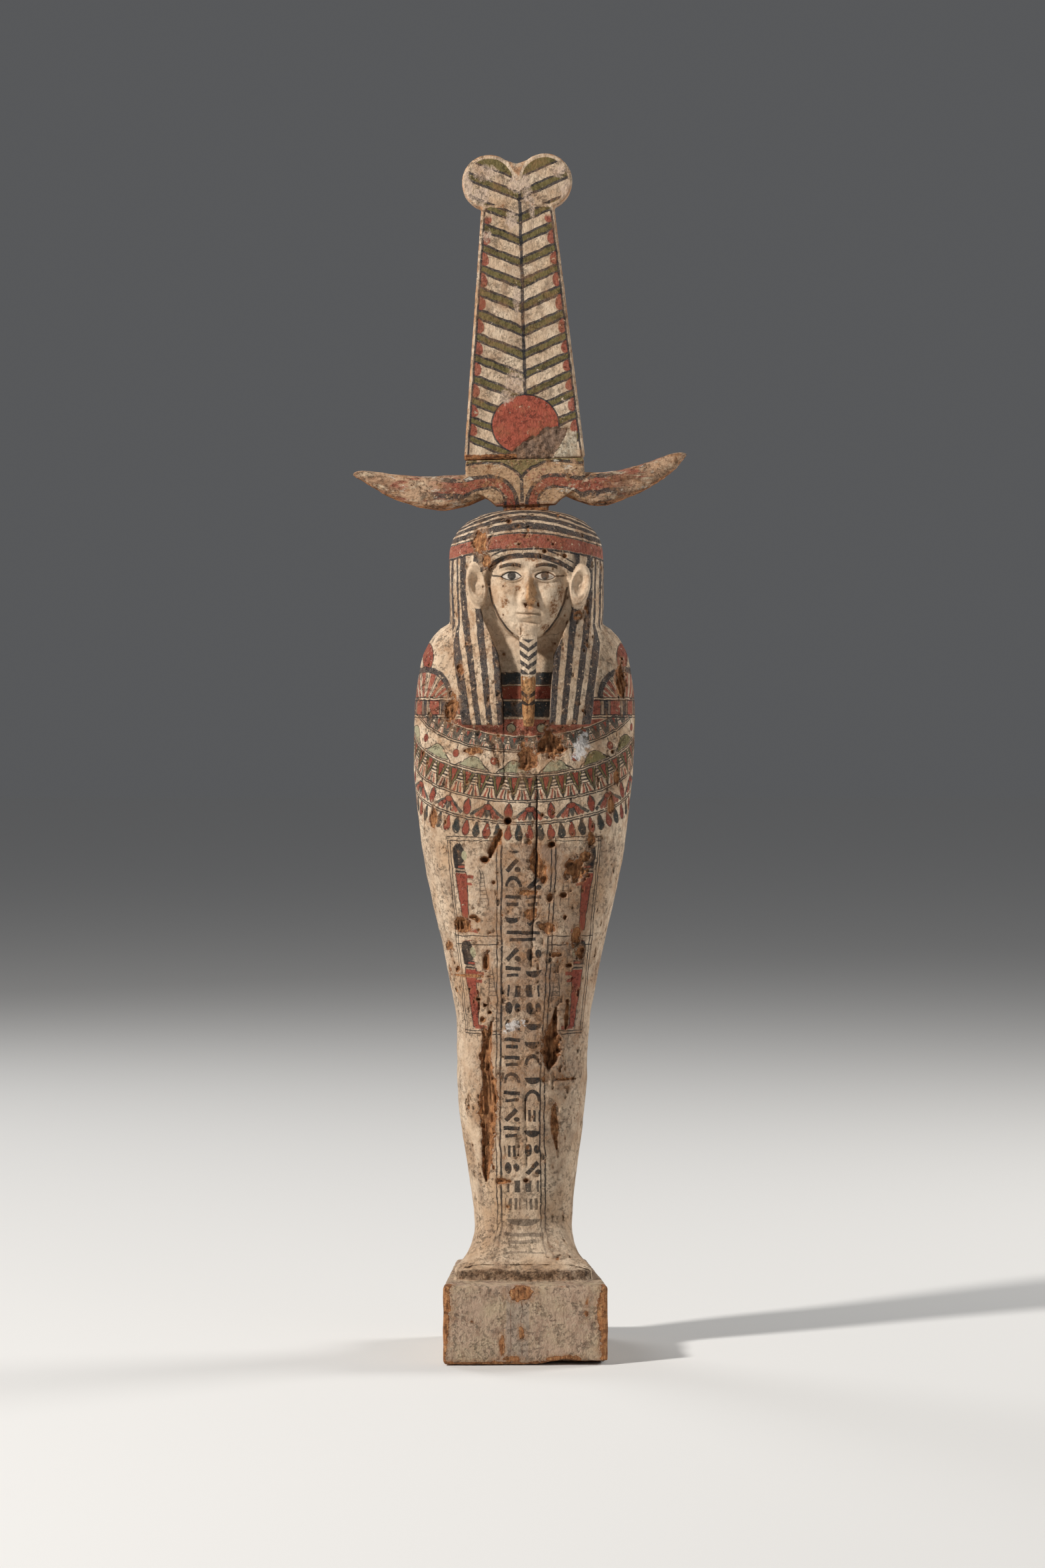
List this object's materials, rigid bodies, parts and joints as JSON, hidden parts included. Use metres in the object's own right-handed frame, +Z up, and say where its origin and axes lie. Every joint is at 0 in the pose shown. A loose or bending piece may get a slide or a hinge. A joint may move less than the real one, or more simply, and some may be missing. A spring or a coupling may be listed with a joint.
{
  "type": "ptah-sokar-osiris figure",
  "caption": "Painted wooden funerary figure, wrapped and bearded, on its own block, with a crown of ram's horns and two tall feathers.",
  "frame": {"origin": "middle of the flat underside of the block, below the body's axis", "axes": "+Z up along the figure, +X towards the figure's left hand (the viewer's right), -Y the way the figure faces"},
  "size_m": [0.1782, 0.1114, 0.6364],
  "materials": {
    "painted_gesso": "matt cream gesso with faded paint over wood, cracked and pitted, bare wood in the losses",
    "worn_horn_gesso": "thin worn gesso with remains of red and dark paint over bare wood",
    "plume_paint": "matt paint in olive, dark blue, red and cream on gesso, rubbed and chipped"
  },
  "bodies": {
    "root": {"figure": "painted_gesso", "horns": "worn_horn_gesso", "plumes": "plume_paint"}
  },
  "joints": []
}
